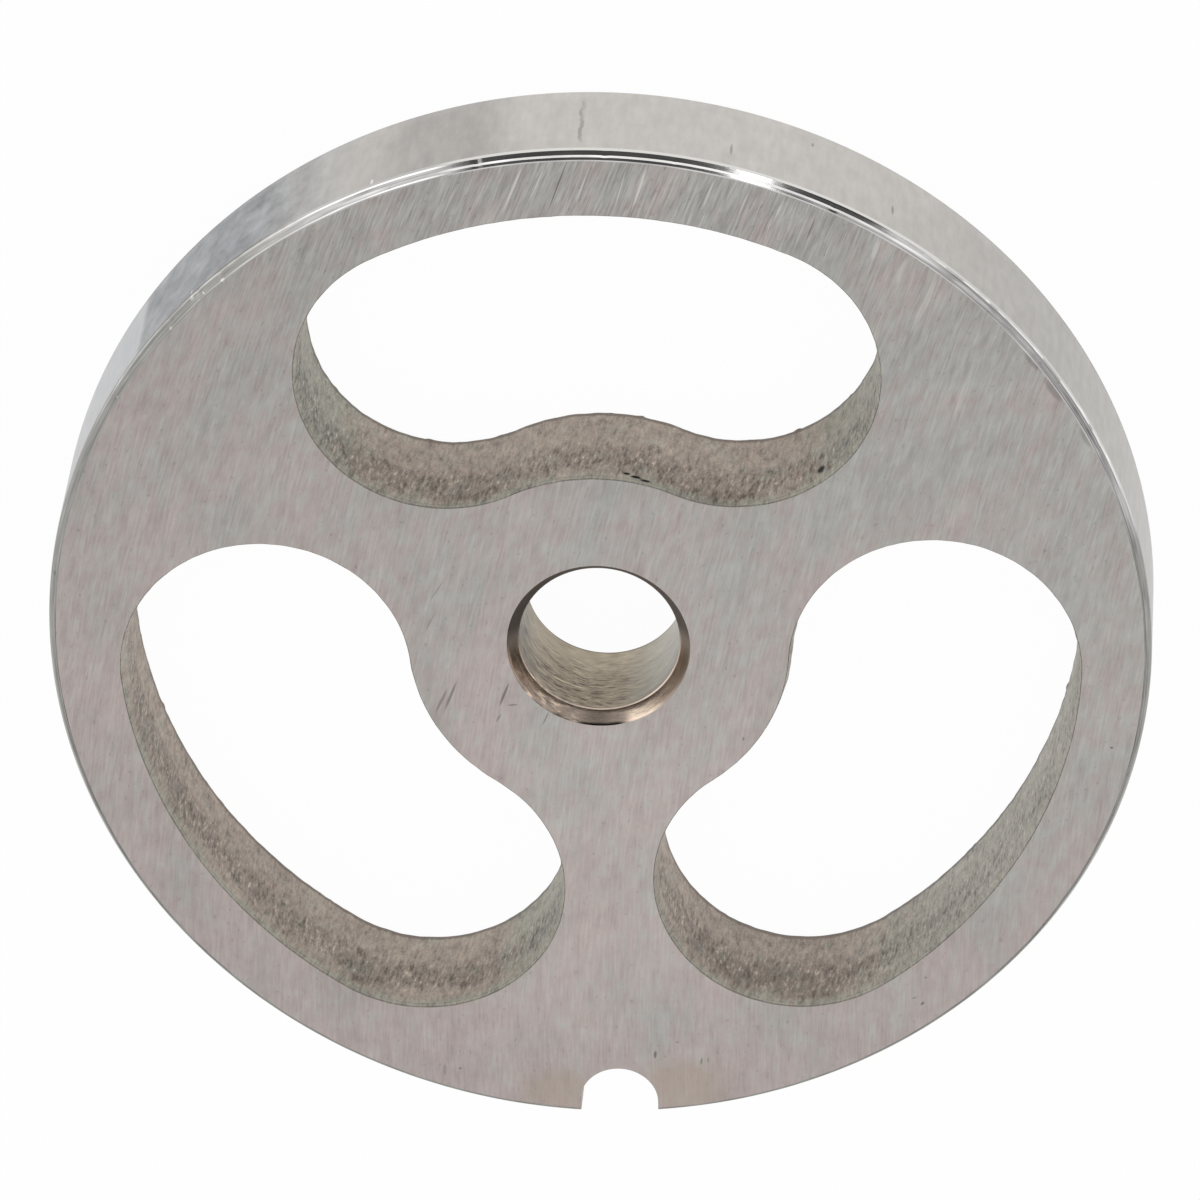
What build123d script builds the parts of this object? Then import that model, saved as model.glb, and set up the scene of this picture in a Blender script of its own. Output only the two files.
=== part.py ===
"""Three-window kidney plate of a size 22 meat grinder, in millimetres.

The plate is one piece of stainless steel: a disc turned all over, with three kidney
windows cut through it and a locating notch in its rim. It lies on its back face, with
the worked face up. The origin is on the bore's axis in the back face, +Z runs along
the bore towards the worked face, and the notch points along -Y.
"""

import os

from build123d import *

os.makedirs("parts", exist_ok=True)

# Disc
rim_radius = 41.0
thickness = 9.9
back_rim_bevel = 0.2

# Turned edge between the rim and the worked face, from the rim inwards.
# Each step has a radial width and an axial height. The land is flat.
lead_width, lead_height = 0.05, 0.32
outer_bevel_width, outer_bevel_height = 0.26, 0.26
land_width = 0.18
inner_bevel_width, inner_bevel_height = 0.12, 0.12
crown_width, crown_height = 0.11, 0.08

# Centre bore that carries the knife's spindle
bore_radius = 6.0
bore_mouth_width, bore_mouth_depth = 0.82, 1.2
bore_back_bevel = 0.35

# Kidney windows: slots bent round the hub, with full round ends
window_count = 3
window_ring_radius = 25.0
window_half_width = 10.65
window_half_angle = 25.3
window_mouth_width, window_mouth_depth = 0.2, 1.3

# Locating notch in the rim: a round-bottomed slot, open outwards
notch_width = 5.9
notch_depth = 4.0
cut_overrun = 1.0


# Half-section of the turned disc: r is the distance from the axis, z the height
rim_top_z = (
    thickness - lead_height - outer_bevel_height - inner_bevel_height - crown_height
)
bevel_r = rim_radius - lead_width
land_r = bevel_r - outer_bevel_width
land_z = rim_top_z + lead_height + outer_bevel_height
land_end_r = land_r - land_width
crown_r = land_end_r - inner_bevel_width
face_radius = crown_r - crown_width

half_section = [
    (bore_radius + bore_back_bevel, 0),
    (rim_radius - back_rim_bevel, 0),
    (rim_radius, back_rim_bevel),
    (rim_radius, rim_top_z),
    (bevel_r, rim_top_z + lead_height),
    (land_r, land_z),
    (land_end_r, land_z),
    (crown_r, land_z + inner_bevel_height),
    (face_radius, thickness),
    (bore_radius + bore_mouth_width, thickness),
    (bore_radius, thickness - bore_mouth_depth),
    (bore_radius, bore_back_bevel),
]

with BuildPart() as kidney_plate:
    # The disc is turned in one setting, with its bore and all its edges
    with BuildSketch(Plane.XZ):
        with BuildLine():
            Polyline(*half_section, close=True)
        make_face()
    revolve(axis=Axis.Z)

    # Windows, the first one opposite the notch
    with BuildSketch(Plane.XY):
        window_ring = CenterArc(
            (0, 0),
            window_ring_radius,
            90 - window_half_angle,
            2 * window_half_angle,
            mode=Mode.PRIVATE,
        )
        with PolarLocations(0, window_count):
            SlotArc(window_ring, 2 * window_half_width)
    extrude(amount=thickness, mode=Mode.SUBTRACT)

    # The windows' walls flare a little where they meet the worked face
    worked_face = kidney_plate.faces().sort_by(Axis.Z)[-1]
    window_outlines = worked_face.inner_wires().sort_by(SortBy.LENGTH)[-window_count:]
    chamfer(
        window_outlines.edges(),
        length=window_mouth_width,
        length2=window_mouth_depth,
        reference=worked_face,
    )

    # Locating notch, midway between two windows
    notch_end_y = notch_depth - notch_width / 2 - rim_radius
    with BuildSketch(Plane.XY):
        with Locations((0, notch_end_y)):
            Circle(notch_width / 2)
            Rectangle(
                notch_width,
                rim_radius + cut_overrun + notch_end_y,
                align=(Align.CENTER, Align.MAX),
            )
    extrude(amount=thickness, mode=Mode.SUBTRACT)

kidney_plate.part.label = "kidney_plate"
export_step(kidney_plate.part, "parts/kidney_plate.step")
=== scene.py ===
"""A meat grinder plate with three kidney windows, and the studio it lies in."""

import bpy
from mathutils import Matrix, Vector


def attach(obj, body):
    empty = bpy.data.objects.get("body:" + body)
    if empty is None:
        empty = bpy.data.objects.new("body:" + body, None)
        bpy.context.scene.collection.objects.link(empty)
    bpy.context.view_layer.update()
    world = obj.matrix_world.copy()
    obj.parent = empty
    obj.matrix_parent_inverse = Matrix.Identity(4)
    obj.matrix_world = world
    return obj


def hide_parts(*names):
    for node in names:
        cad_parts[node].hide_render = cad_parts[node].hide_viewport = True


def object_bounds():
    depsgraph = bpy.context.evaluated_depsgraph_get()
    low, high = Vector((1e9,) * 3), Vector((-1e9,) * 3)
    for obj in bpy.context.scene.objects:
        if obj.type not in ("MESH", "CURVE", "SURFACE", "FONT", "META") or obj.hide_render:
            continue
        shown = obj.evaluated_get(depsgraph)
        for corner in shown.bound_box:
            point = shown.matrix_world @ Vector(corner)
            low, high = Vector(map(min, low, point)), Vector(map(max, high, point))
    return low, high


bl_info = {
    "name": "Meat grinder plate",
    "version": (1, 0, 0),
    "blender": (4, 5, 0),
    "location": "View3D > Sidebar > Grinder plate",
    "description": "Builds a three-window meat grinder plate and a plain studio round it",
    "category": "Object",
}

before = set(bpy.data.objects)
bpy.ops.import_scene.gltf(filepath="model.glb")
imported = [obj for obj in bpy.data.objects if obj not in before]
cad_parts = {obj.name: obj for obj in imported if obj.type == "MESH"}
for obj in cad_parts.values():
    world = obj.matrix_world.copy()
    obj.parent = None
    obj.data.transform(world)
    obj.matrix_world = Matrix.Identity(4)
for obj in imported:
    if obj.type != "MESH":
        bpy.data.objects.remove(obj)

import math
from functools import partial

import bpy
import numpy as np
from bpy.props import FloatProperty, FloatVectorProperty, PointerProperty
from mathutils import Matrix, Vector
from mathutils.geometry import delaunay_2d_cdt

MM = 0.001
CAD_LOW, CAD_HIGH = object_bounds()
PLATE_RADIUS = CAD_HIGH.x / MM
PLATE_THICKNESS = (CAD_HIGH.z - CAD_LOW.z) / MM
PLATE_NODE = "kidney_plate"

# Material slots of the plate, in the order of FINISHES.
FACE, BACK, RIM, BEVEL, WALL, MOUTH, BORE, CONE, NOTCH = range(9)

# How finely the surfaces are cut.
RIM_COLUMNS, WINDOW_COLUMNS, BORE_COLUMNS = 1261, 433, 193
NOTCH_STRAIGHT, NOTCH_BEND = 6, 41
BAND_ROWS, WALL_ROWS, MOUTH_ROWS, BORE_ROWS, CONE_ROWS = 4, 27, 6, 34, 5


def paint(red, green, blue):
    """Turn a screen colour, 0 to 255 a channel, into the linear, opaque one a shader takes."""
    screen = np.array([red, green, blue]) / 255
    curve = np.where(screen > 0.04045, ((screen + 0.055) / 1.055) ** 2.4, screen / 12.92)
    return (*curve.tolist(), 1.0)


def length(name, description, millimetres):
    """A length setting of the plate, shown in the scene's own unit."""
    return FloatProperty(
        name=name, description=description, default=millimetres * MM, unit="LENGTH", precision=5
    )


def tint(name, description, red, green, blue):
    """A colour setting, written as it looks on screen."""
    return FloatVectorProperty(
        name=name, description=description, default=paint(red, green, blue),
        subtype="COLOR", size=4, min=0, max=1
    )


class PlateSizes(bpy.types.PropertyGroup):
    """Sizes of the plate, as a machinist would read them off."""

    rim_radius: length("Rim radius", "Radius of the rim", PLATE_RADIUS)
    thickness: length("Thickness", "Height of the worked face above the back", PLATE_THICKNESS)
    bore_radius: length("Bore radius", "Radius of the centre bore", 6.0)
    mouth_radius: length("Bore mouth radius", "Radius of the bore's cone at the face", 6.82)
    mouth_depth: length("Bore mouth depth", "Depth of the bore's cone", 1.2)
    ring_radius: length("Window ring radius", "Radius of the windows' centre arc", 25.0)
    half_width: length("Window half width", "Half the width of a window", 10.65)
    flare: length("Window flare", "How far a window's mouth opens at the face", 0.2)
    flare_depth: length("Window flare depth", "Depth of a window's flared mouth", 1.3)
    notch_half: length("Notch half width", "Half the width of the locating notch", 2.95)
    notch_depth: length("Notch depth", "Depth of the notch from the rim", 4.0)
    half_angle: FloatProperty(
        name="Window half angle", description="Half the angle that a window's arc spans",
        default=math.radians(25.3), subtype="ANGLE"
    )
    roughness: length("Wall roughness", "How far a window's raw wall strays", 0.022)


class SteelColours(bpy.types.PropertyGroup):
    """Colours of the plate's finishes."""

    rosy: tint("Rosy steel", "Warmer patches of the ground face", 173, 162, 159)
    leaden: tint("Leaden steel", "Greener patches of the ground face", 164, 163, 159)
    rim: tint("Rim", "Satin band round the edge", 197, 193, 188)
    # The rim's dark bluish stretch and its pale stretch are painted reflections.
    dark_reflection: tint("Rim smear", "Bluish smear on the rim", 142, 145, 149)
    pale_rim_reflection: tint("Pale rim", "Paler stretch of the rim beyond the smear", 189, 190, 192)
    # Bevel is the bright facets' painted reflection; lead and dull are the lead edge as a painted
    # highlight and the same edge unlit.
    bevel: tint("Bevel", "Turned facets at the edge of the face", 206, 204, 203)
    lead: tint("Lead", "Burnished edge between rim and bevel", 222, 220, 216)
    dull: tint("Dull edge", "The same edges where they aren't burnished", 126, 123, 119)
    raw: tint("Raw wall", "Warm window wall", 180, 167, 156)
    # Raw green and raw pale are partly painted light on the window walls.
    raw_green: tint("Raw wall, green", "Greener parts of a window wall", 174, 171, 160)
    raw_pale: tint("Raw wall, pale", "Paler parts of a window wall", 178, 174, 166)
    raw_dark: tint("Raw wall, dark", "Dark grain on a window wall", 104, 88, 73)
    bore: tint("Bore", "Turned wall of the bore", 165, 154, 135)
    cone: tint("Bore mouth", "Brown polished cone of the bore", 186, 170, 157)
    # Golden flecks of the cone, and its painted golden highlight.
    gold_and_highlight: tint("Gold", "Golden tinge on the cone of the bore", 222, 201, 182)
    stain: tint("Stain", "Brownish stain by the notch", 166, 152, 137)
    scratch: tint("Scratch", "Dark scratches and pits", 92, 86, 84)
    # Shine is the colour of painted highlights along grinding lines.
    shine: tint("Shine", "Bright grinding lines", 212, 208, 204)


class StudioSettings(bpy.types.PropertyGroup):
    """Camera and light of the studio."""

    focal: FloatProperty(name="Focal length", description="Camera lens, in mm", default=297.18)
    sky: FloatProperty(name="Sky", description="Strength of the soft sky", default=0.9)
    overhead: FloatProperty(name="Overhead", description="Power of the overhead lamp", default=0.5)
    strip: FloatProperty(name="Strip", description="Power of the narrow strip lamp", default=0.5)


# ---------------- surfaces


def placed(name, data):
    """A new object of this data, linked into the scene."""
    made = bpy.data.objects.new(name, data)
    bpy.context.scene.collection.objects.link(made)
    return made


def read(items, name, width=1, kind=np.int32):
    """One property of all these mesh items, as an array."""
    values = np.zeros(len(items) * width, dtype=kind)
    items.foreach_get(name, values)
    return values


class Skin:
    """Gathers patches of surface, in millimetres, and joins them into one closed mesh."""

    WELD = 1e-4
    CREASE = math.radians(21)

    def __init__(self):
        self.points, self.faces, self.slots, self.count = [], [], [], 0

    def add(self, points, faces, slot):
        """Add a patch: points, faces as rows of point numbers, and a material slot."""
        self.points.append(points.reshape(-1, 3))
        self.faces.extend((faces + self.count).tolist())
        self.slots.extend([slot] * len(faces))
        self.count += points.size // 3

    def grid(self, points, slot, inward=False):
        """Add a grid's quads, which face out of a shape whose columns run anticlockwise."""
        rows, columns = points.shape[:2]
        row, column = np.meshgrid(np.arange(rows - 1), np.arange(columns - 1), indexing="ij")
        here = (row * columns + column).ravel()
        quads = np.stack([here, here + 1, here + columns + 1, here + columns], axis=1)
        self.add(points, quads[:, ::-1] if inward else quads, slot)

    def build(self, name):
        """Weld points that meet, drop the rest, and mark creases and patch borders sharp."""
        points = np.concatenate(self.points)
        keys = np.round(points / self.WELD).astype(np.int64)
        _, first, number = np.unique(keys, axis=0, return_index=True, return_inverse=True)
        number = number.reshape(-1)
        faces = [number[np.array(face)] for face in self.faces]
        whole = [(list(dict.fromkeys(face.tolist())), slot) for face, slot in zip(faces, self.slots)]
        whole = [(face, slot) for face, slot in whole if len(face) > 2]
        mesh = bpy.data.meshes.new(name)
        mesh.from_pydata((points[first] * MM).tolist(), [], [face for face, _ in whole])
        slots = np.array([slot for _, slot in whole], dtype=np.int32)
        mesh.polygons.foreach_set("material_index", slots)
        mesh.polygons.foreach_set("use_smooth", np.ones(len(whole), dtype=bool))
        mesh.update()
        self.crease(mesh, slots)
        return mesh

    def crease(self, mesh, slots):
        """An edge is sharp where its two faces differ in slot or turn by more than the crease."""
        edges = read(mesh.loops, "edge_index")
        corners = read(mesh.polygons, "loop_total")
        normals = read(mesh.polygons, "normal", 3, float).reshape(-1, 3)
        owner = np.repeat(np.arange(len(corners)), corners)
        order = np.argsort(edges, kind="stable")
        if len(order) != 2 * len(mesh.edges) or np.bincount(edges).max() != 2:
            raise RuntimeError("the plate's skin isn't closed")
        pair = owner[order].reshape(-1, 2)
        turn = np.einsum("ij,ij->i", normals[pair[:, 0]], normals[pair[:, 1]])
        sharp = (turn < math.cos(self.CREASE)) | (slots[pair[:, 0]] != slots[pair[:, 1]])
        mesh.attributes.new("sharp_edge", "BOOLEAN", "EDGE").data.foreach_set("value", sharp)


def on_circle(angle):
    """Unit vectors in the plate's plane at these angles."""
    return np.stack([np.cos(angle), np.sin(angle)], axis=-1)


def raised(flat, height):
    """Points of the plate's plane lifted to these heights."""
    return np.concatenate([flat, np.broadcast_to(height, flat.shape[:-1])[..., None]], axis=-1)


def closed(field):
    """A field whose first column is repeated at its end."""
    return np.concatenate([field, field[:, :1]], axis=1)


def rough_field(seed, rows, columns, grain, waves):
    """Smooth random heights on a grid that closes on itself along its columns.

    White noise blurred by a Gaussian of grain = (rows, columns) cells, plus four fifths of one
    blurred by waves, is scaled to a spread of one. The blur is a product in the frequency plane,
    so the grid meets itself with no step."""
    random = np.random.default_rng(seed)
    down = np.fft.fftfreq(rows)[:, None]
    across = np.fft.fftfreq(columns)[None, :]
    field = np.zeros((rows, columns))
    for size, share in ((grain, 1.0), (waves, 0.8)):
        blur = np.exp(-2 * math.pi ** 2 * ((down * size[0]) ** 2 + (across * size[1]) ** 2))
        noise = np.fft.ifft2(np.fft.fft2(random.standard_normal((rows, columns))) * blur).real
        field += share * noise / noise.std()
    return field / field.std()


# Nicks in the bevel: bearing and half width in degrees, depth in millimetres. All lie NICK_DROP
# below the face and reach NICK_HEIGHT up and down.
NICK_DROP, NICK_HEIGHT = 0.3, 0.16
NICKS = (
    (100.2, 0.28, 0.06), (87.1, 0.3, 0.07), (80.0, 0.22, 0.03), (133.4, 0.3, 0.1),
    (130.2, 0.25, 0.06), (137.9, 0.25, 0.06), (63.0, 0.3, 0.05), (24.0, 0.3, 0.06),
)

# Rows of the rim's back edge: how far in from the rim, and the height.
BACK_EDGE = ((0.2, 0.0), (0.05, 0.035), (0.0, 0.2))

# How far the plain band's own rows keep from the back and from the face.
BAND_FOOT, BAND_DROP = 1.2, 1.6

# Rows of the bevel, up from the rim: how far in from the rim, how far below the face, and the
# share of the turning off centre, which moves the face's edge out by OFF_CENTRE at +X and -X.
BEVEL_ROWS = (
    (0.0, 0.78, 0.0), (0.05, 0.46, 0.0), (0.3, 0.19, 0.45),
    (0.47, 0.165, 0.75), (0.62, 0.03, 1.0), (0.71, 0.0, 1.0),
)
OFF_CENTRE = 0.15


def rim_profile(sizes):
    """Half section of the rim from the back edge up to the worked face.

    Its rows give radius, height, and how far each goes with the face, which is turned off centre:
    the back edge, plain band, steep lead, outer bevel, flat land, inner bevel and crown."""
    radius, top = sizes["rim_radius"], sizes["thickness"]
    back = [(radius - inward, height, 0.0) for inward, height in BACK_EDGE]
    heights = np.linspace(BAND_FOOT, top - BAND_DROP, BAND_ROWS)
    band = [(radius, height, 0.0) for height in heights]
    front = [(radius - inward, top - drop, share * OFF_CENTRE) for inward, drop, share in BEVEL_ROWS]
    return np.array(back + band + front)


def bevel_foot(profile):
    """Number of the row where the plain band ends and the bevel starts."""
    return len(profile) - len(BEVEL_ROWS)


def off_centre(profile, angle):
    """Radius of each profile row at an angle: it gains off times (1 - sine of the angle).

    The sine stops just above -1, so the radius is even on both sides of the notch."""
    lowest = -0.99
    return profile[:, :1] + profile[:, 2:] * (1 - np.maximum(np.sin(angle), lowest))


def rim_patch(sizes, profile, opening, columns):
    """The rim's half section carried round the plate from one side of the notch to the other.

    A row of the profile at radius r starts and ends at the angle whose sine is the notch's half
    opening over r, measured from straight down."""
    height = profile[:, 1:2]
    gap = np.arcsin(opening[:, None] / off_centre(profile, -math.pi / 2))
    share = np.linspace(0, 1, columns)[None, :]
    angle = (gap - math.pi / 2) * (1 - share) + (1.5 * math.pi - gap) * share
    radius = off_centre(profile, angle)
    across = (height - sizes["thickness"] + NICK_DROP) / NICK_HEIGHT
    for place, width, depth in NICKS:
        away = (np.degrees(angle) - place) / width
        radius = radius - depth * np.exp(-away ** 2 - across ** 2)
    return raised(on_circle(angle) * radius[..., None], height)


def notch_patch(sizes, profile, opening, straight, bend):
    """The notch's wall: a straight side, a half circle and a straight side, for each profile row.

    A straight side runs from the rim's own end point in to where the half circle starts. Its
    height is the profile's at the rim and turns to an even spacing by the half circle."""
    radius, height = off_centre(profile, -math.pi / 2)[:, 0], profile[:, 1]
    centre = sizes["notch_depth"] - sizes["notch_half"] - sizes["rim_radius"]
    end = -np.sqrt(radius ** 2 - opening ** 2)
    foot = bevel_foot(profile)
    even = height.copy()
    even[foot:] = np.linspace(height[foot], height[-1], len(height) - foot)
    share = np.linspace(1, 0, straight)[None, :]
    side_y = share * end[:, None] + (1 - share) * centre
    side_z = share * height[:, None] + (1 - share) * even[:, None]
    side_x = np.broadcast_to(opening[:, None], side_y.shape)
    turn = np.linspace(math.pi, 0, bend)[1:-1]
    arc = on_circle(turn)[None] * opening[:, None, None] + np.array([0.0, centre])
    arc = raised(arc, even[:, None])
    left = np.stack([-side_x, side_y, side_z], axis=-1)
    right = np.stack([side_x, side_y, side_z], axis=-1)[:, ::-1]
    return np.concatenate([left, arc, right], axis=1)


def window_path(sizes, middle, columns):
    """Feet on the window's centre arc and unit normals, once round the window.

    The normal follows the arc, turns half round at its end, comes back on the inner side and
    turns half round again, at an even pace along the outline."""
    reach, ring, half = sizes["half_angle"], sizes["ring_radius"], sizes["half_width"]
    runs = [(ring + half) * 2 * reach, math.pi * half, (ring - half) * 2 * reach, math.pi * half]
    stops = np.concatenate([[0], np.cumsum(runs)])
    along = np.linspace(0, stops[-1], columns)
    foot = np.interp(along, stops, [-reach, reach, reach, -reach, -reach])
    turned = [-reach, reach, reach + math.pi, math.pi - reach, 2 * math.pi - reach]
    normal = np.interp(along, stops, turned)
    return ring * on_circle(middle + foot), on_circle(middle + normal)


# Rows at the foot of a window's wall: height, how far it opens, its share of roughness. Then
# where the plain wall starts, how far below the face the flare ends, and how far the lip opens.
WALL_FOOT = ((0.0, 0.05, 0.7), (0.03, 0.012, 0.8), (0.1, 0.0, 1.0))
WALL_START, LIP_DROP, LIP_OPENING = 0.35, 0.05, 0.06


def window_profile(sizes):
    """Heights of a window's wall, how far it opens at each, and how much roughness it takes.

    The wall is plain up to the mouth, which opens evenly and gets smoother up to the lip."""
    top, flare, depth = sizes["thickness"], sizes["flare"], sizes["flare_depth"]
    plain = np.linspace(WALL_START, top - depth, WALL_ROWS)
    plain = np.stack([plain, np.zeros_like(plain), np.ones_like(plain)], axis=1)
    share = np.linspace(0, 1, MOUTH_ROWS + 1)[1:]
    height = top - LIP_DROP - (depth - LIP_DROP) * (1 - share)
    mouth = np.stack([height, flare * share, 1 - 0.6 * share], axis=1)
    lip = np.array([[top, flare + LIP_OPENING, 0.3]])
    return np.concatenate([WALL_FOOT, plain, mouth, lip]), len(WALL_FOOT) + len(plain) - 1


# Seeds of a window's wall and of its bottom edge, and how high and deep that edge's burrs are.
WALL_SEED, EDGE_SEED = 7, 31
BURR_HEIGHT, BURR_DEPTH = 0.16, -0.11


def window_patch(sizes, number, columns):
    """One window's wall: the slot's outline carried up the wall's profile, roughened outwards.

    Each point is a foot on the centre arc plus, along the normal, half the window's width, the
    profile's opening and a random depth. The grain is longer up the wall than round it. Burrs
    stand into the window at its bottom edge, where a random line passes 1.5 times its spread."""
    middle = math.radians(90 + 120 * number)
    feet, normals = window_path(sizes, middle, columns)
    profile, _ = window_profile(sizes)
    height, opening, share = profile[:, :1], profile[:, 1:2], profile[:, 2:]
    field = rough_field(WALL_SEED + number, len(profile), columns - 1, (2.2, 0.9), (9.0, 7.0))
    field = closed(field) * sizes["roughness"] * share
    edge = closed(rough_field(EDGE_SEED + number, 2, columns - 1, (1.0, 0.6), (1.0, 1.2))[:1])
    burr = np.clip(edge - 1.5, 0, 2) * BURR_DEPTH * np.exp(-((height / BURR_HEIGHT) ** 2))
    reach = sizes["half_width"] + opening + field + burr
    return raised(feet[None] + normals[None] * reach[..., None], height)


# The bore: its back edge's break, its ridges' height, its cone's lip, and the burnished step's two
# rows, as how far out and up they lie from the wall's top.
BORE_BREAK, RIDGE, CONE_DROP = 0.35, 0.002, 0.03
BURNISHED_STEP = ((-0.015, 0.03), (0.085, 0.095))


def bore_patch(sizes, columns):
    """The bore's section turned once round: back edge, ridged wall, burnished step, straight cone.

    The ridges are the product of two sines of the height."""
    radius, top, mouth = sizes["bore_radius"], sizes["thickness"], sizes["mouth_radius"]
    heights = np.linspace(BORE_BREAK, top - sizes["mouth_depth"], BORE_ROWS)
    ridge = RIDGE * np.sin(heights * 9.0) * np.sin(heights * 23.0)
    ridge[[0, -1]] = 0
    wall = np.stack([radius + ridge, heights], axis=1)
    step = wall[-1:] + np.array(BURNISHED_STEP)
    share = np.linspace(0, 1, CONE_ROWS + 1)[1:, None]
    cone = wall[-1:] + share * (np.array([[mouth - CONE_DROP, top - CONE_DROP]]) - wall[-1:])
    profile = np.concatenate([[[radius + BORE_BREAK, 0.0]], wall, step, cone, [[mouth, top]]])
    turn = on_circle(np.linspace(0, 2 * math.pi, columns))
    return raised(turn[None] * profile[:, :1, None], profile[:, 1:]), len(wall)


def inside(points, starts, ends):
    """Which points have an odd number of the outlines' edges to their right."""
    x, y = points[:, :1], points[:, 1:]
    spans = (starts[:, 1] > y) != (ends[:, 1] > y)
    rise = np.where(spans, ends[:, 1] - starts[:, 1], 1.0)
    crossing = starts[:, 0] + (y - starts[:, 1]) / rise * (ends[:, 0] - starts[:, 0])
    return (spans & (crossing > x)).sum(axis=1) % 2 == 1


def flat_patch(loops, height, upward):
    """A flat face inside the first loop and outside the others, by constrained triangles."""
    rings = [loop[:, :2] for loop in loops]
    starts = np.cumsum([0] + [len(ring) for ring in rings[:-1]])
    turns = [(start, np.arange(len(ring))) for start, ring in zip(starts, rings)]
    edges = [np.stack([start + turn, start + np.roll(turn, -1)], axis=1) for start, turn in turns]
    flat = np.concatenate(rings)
    found = delaunay_2d_cdt(
        [Vector(point) for point in flat.tolist()], np.concatenate(edges).tolist(), [], 2, 1e-7
    )
    first = np.array([sources[0] if sources else -1 for sources in found[3]])
    if first.min() < 0:
        raise RuntimeError("the outlines of the flat face cross")
    triangles = first[np.array(found[2])]
    ends = flat[np.concatenate(edges)]
    triangles = triangles[inside(flat[triangles].mean(axis=1), ends[:, 0], ends[:, 1])]
    return raised(flat, height), triangles if upward else triangles[:, ::-1]


# How far the notch opens more at the back and at the face than between them.
NOTCH_BREAK = 0.04


def plate_mesh(sizes):
    """Join the rim, notch, windows, bore and the two flat faces along their shared rows."""
    skin = Skin()
    profile = rim_profile(sizes)
    opening = np.full(len(profile), sizes["notch_half"])
    opening[[0, -1]] += NOTCH_BREAK
    rim = rim_patch(sizes, profile, opening, RIM_COLUMNS)
    foot = bevel_foot(profile)
    skin.grid(rim[:foot + 1], RIM)
    skin.grid(rim[foot:], BEVEL)
    notch = notch_patch(sizes, profile, opening, NOTCH_STRAIGHT, NOTCH_BEND)
    skin.grid(notch, NOTCH)
    _, crisp = window_profile(sizes)
    windows = []
    for number in range(3):
        wall = window_patch(sizes, number, WINDOW_COLUMNS)
        skin.grid(wall[:crisp + 1], WALL, True)
        skin.grid(wall[crisp:], MOUTH, True)
        windows.append(wall[:, :-1])
    bore, crisp = bore_patch(sizes, BORE_COLUMNS)
    skin.grid(bore[:crisp + 1], BORE, True)
    skin.grid(bore[crisp:], CONE, True)
    for row, height, slot in ((-1, sizes["thickness"], FACE), (0, 0.0, BACK)):
        outline = np.concatenate([rim[row], notch[row, 1:-1]])
        loops = [outline, bore[row, :-1]] + [wall[row] for wall in windows]
        skin.add(*flat_patch(loops, height, row == -1), slot)
    return skin.build("grinder_plate")


# ---------------- shader maths


class Wire:
    """One socket of a node tree. Sums, products and powers of wires add Math nodes."""

    ROWS, COLUMN_WIDTH, ROW_HEIGHT = 5, 220, 240

    # Sockets of the Mix node by number, as several of them share a name.
    FACTOR, FIRST, SECOND, RESULT = 0, 6, 7, 2

    def __init__(self, tree, socket=None):
        self.tree, self.socket = tree, socket

    def node(self, kind, values=None, output=0, **settings):
        """Add a node: its settings first, then the values or links of its sockets."""
        made = self.tree.nodes.new("ShaderNode" + kind)
        column, row = divmod(len(self.tree.nodes), self.ROWS)
        made.location = (column * self.COLUMN_WIDTH, -row * self.ROW_HEIGHT)
        for name, value in settings.items():
            setattr(made, name, value)
        for name, value in (values or {}).items():
            if isinstance(value, Wire):
                self.tree.links.new(value.socket, made.inputs[name])
            else:
                made.inputs[name].default_value = value
        return Wire(self.tree, made.outputs[output] if made.outputs else None)

    def maths(self, operation, *others):
        """One Math node of this operation on this wire and other wires or numbers."""
        return self.node("Math", dict(enumerate((self, *others))), operation=operation)

    def __add__(self, other):
        return self.maths("ADD", other)

    def __sub__(self, other):
        return self.maths("SUBTRACT", other)

    def __rsub__(self, other):
        return self.node("Math", {0: other, 1: self}, operation="SUBTRACT")

    def __mul__(self, other):
        return self.maths("MULTIPLY", other)

    def __pow__(self, other):
        return self.maths("POWER", other)

    __radd__ = __add__
    __rmul__ = __mul__

    def step(self, low, high):
        """A smooth rise from 0 at low to 1 at high; the other way round where low is above."""
        values = {"Value": self, "From Min": low, "From Max": high}
        return self.node("MapRange", values, interpolation_type="SMOOTHSTEP")

    def band(self, start, full, still, end):
        """A smooth rise from 0 at start to 1 at full, and a fall from 1 at still to 0 at end."""
        return self.step(start, full) * self.step(end, still)

    def mix(self, first, second):
        """A colour that goes from the first to the second as this wire goes from 0 to 1."""
        values = {self.FACTOR: self, self.FIRST: first, self.SECOND: second}
        return self.node("Mix", values, self.RESULT, data_type="RGBA")

    def noise(self, place, scale, detail=2, roughness=0.5):
        """Noise of about 0 to 1, with features of about one over scale.

        The place is a vector's wire, or three wires or numbers."""
        if isinstance(place, tuple):
            place = self.node("CombineXYZ", dict(zip("XYZ", place)))
        values = {"Vector": place, "Scale": scale, "Detail": detail, "Roughness": roughness}
        return self.node("TexNoise", values)


def split(vector):
    """The x, y and z of a vector, as wires."""
    parts = vector.node("SeparateXYZ", {"Vector": vector}).socket.node.outputs
    return [Wire(vector.tree, part) for part in parts]


def emptied(owner):
    """A wire to start from in a material's or a world's tree, which is cleared first."""
    owner.use_nodes = True
    owner.node_tree.nodes.clear()
    return Wire(owner.node_tree)


def new_finish(name):
    """A material, its start wire, the object's coordinates, and their x, y and z."""
    material = bpy.data.materials.new(name)
    start = emptied(material)
    place = start.node("TexCoord", output="Object")
    return material, start, place, split(place)


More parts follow.
